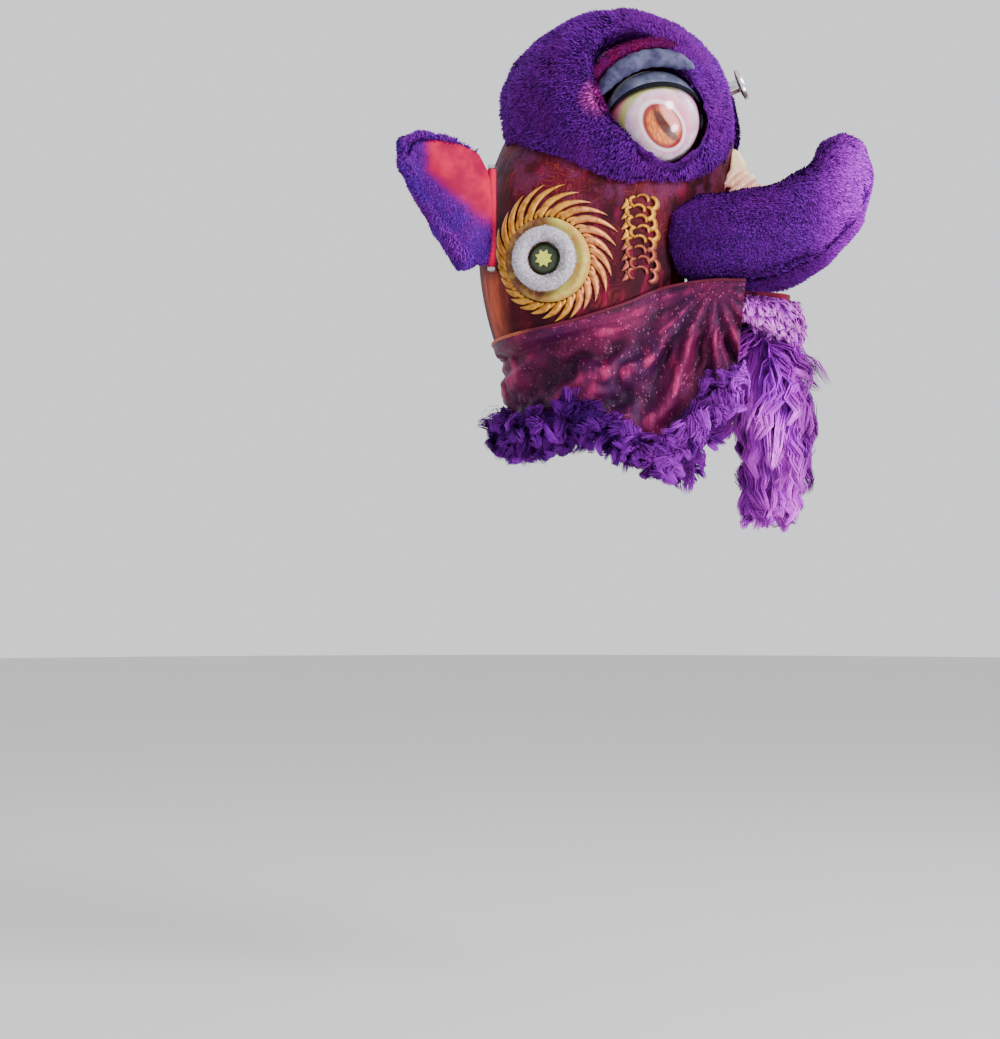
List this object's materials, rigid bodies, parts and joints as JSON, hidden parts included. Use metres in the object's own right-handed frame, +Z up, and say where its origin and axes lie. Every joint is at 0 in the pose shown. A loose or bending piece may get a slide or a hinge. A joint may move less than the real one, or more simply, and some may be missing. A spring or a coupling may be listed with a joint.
{
  "type": "lion dance head",
  "caption": "Hollow lion mask with plush brows round glossy eyes, gold flame cheeks, an upturned furred bill, a hinged bearded jaw, turning ears and a gathered neck cloth.",
  "frame": {"origin": "middle of the hand bar inside the head", "axes": "+Z up, the lion looks along -Y, its right side is -X"},
  "size_m": [0.6694, 0.8385, 0.9427],
  "materials": {
    "shell_paint": "painted papier-mache over a bamboo frame",
    "purple_fur": "long-pile fur",
    "beard_fur": "long hair in locks",
    "sequin_cloth": "shiny gathered cloth",
    "gold_leaf": "gold paint",
    "red_lining": "red lining",
    "nose_paint": "painted papier-mache",
    "white_pile": "short white pile",
    "eye_enamel": "gloss enamel",
    "lid_silver": "silver-grey paint",
    "dark_green": "dark green paint",
    "lime": "yellow-green paint",
    "steel": "wire and pins",
    "silver": "pressed foil",
    "looking_glass": "polished",
    "bamboo": "bare bamboo"
  },
  "bodies": {
    "head": {"head_shell": "shell_paint", "bill_fur": "purple_fur", "hem_fur": "purple_fur", "brow_fur_right": "purple_fur", "brow_fur_left": "purple_fur", "neck_cloth": "sequin_cloth", "cheek_boss_right": "gold_leaf", "cheek_boss_left": "gold_leaf", "cheek_flames_right": "gold_leaf", "cheek_flames_left": "gold_leaf", "cheek_curls_right": "gold_leaf", "cheek_curls_left": "gold_leaf", "bill": "red_lining", "nose": "nose_paint", "cheek_ring_right": "white_pile", "cheek_ring_left": "white_pile", "eyeball_right": "eye_enamel", "eyeball_left": "eye_enamel", "cheek_centre_right": "dark_green", "cheek_centre_left": "dark_green", "cheek_star_right": "lime", "cheek_star_left": "lime", "ear_bracket_right": "steel", "ear_bracket_left": "steel", "jaw_pin_right": "steel", "jaw_pin_left": "steel", "mirror_frame": "silver", "mirror_glass": "looking_glass", "hand_bar": "bamboo"},
    "jaw": {"jaw": "red_lining", "jaw_fur": "purple_fur", "tongue": "red_lining", "beard": "beard_fur"},
    "ear_right": {"ear_panel_right": "red_lining", "ear_fur_right": "purple_fur"},
    "ear_left": {"ear_panel_left": "red_lining", "ear_fur_left": "purple_fur"},
    "lid_right": {"eyelid_right": "lid_silver"},
    "lid_left": {"eyelid_left": "lid_silver"}
  },
  "joints": [
    {"name": "jaw_hinge", "type": "hinge", "parent": "head", "child": "jaw", "pos_m": [0, -0.055, -0.012], "axis": [1, 0, 0], "range_deg": [0, 24], "stiffness_Nm_per_rad": 1.6, "springref_deg": -42.97},
    {"name": "ear_right_hinge", "type": "hinge", "parent": "head", "child": "ear_right", "pos_m": [-0.236, 0.243, 0.11], "axis": [0, 0, 1], "range_deg": [-12, 12], "stiffness_Nm_per_rad": 0.3},
    {"name": "ear_left_hinge", "type": "hinge", "parent": "head", "child": "ear_left", "pos_m": [0.236, 0.243, 0.11], "axis": [0, 0, 1], "range_deg": [-12, 12], "stiffness_Nm_per_rad": 0.3},
    {"name": "lid_right_hinge", "type": "hinge", "parent": "head", "child": "lid_right", "pos_m": [-0.18, -0.04, 0.285], "axis": [0.3746, -0.9272, 0], "range_deg": [0, 45], "stiffness_Nm_per_rad": 0.08, "springref_deg": -34.38},
    {"name": "lid_left_hinge", "type": "hinge", "parent": "head", "child": "lid_left", "pos_m": [0.18, -0.04, 0.285], "axis": [0.3746, 0.9272, 0], "range_deg": [0, 45], "stiffness_Nm_per_rad": 0.08, "springref_deg": -34.38}
  ]
}
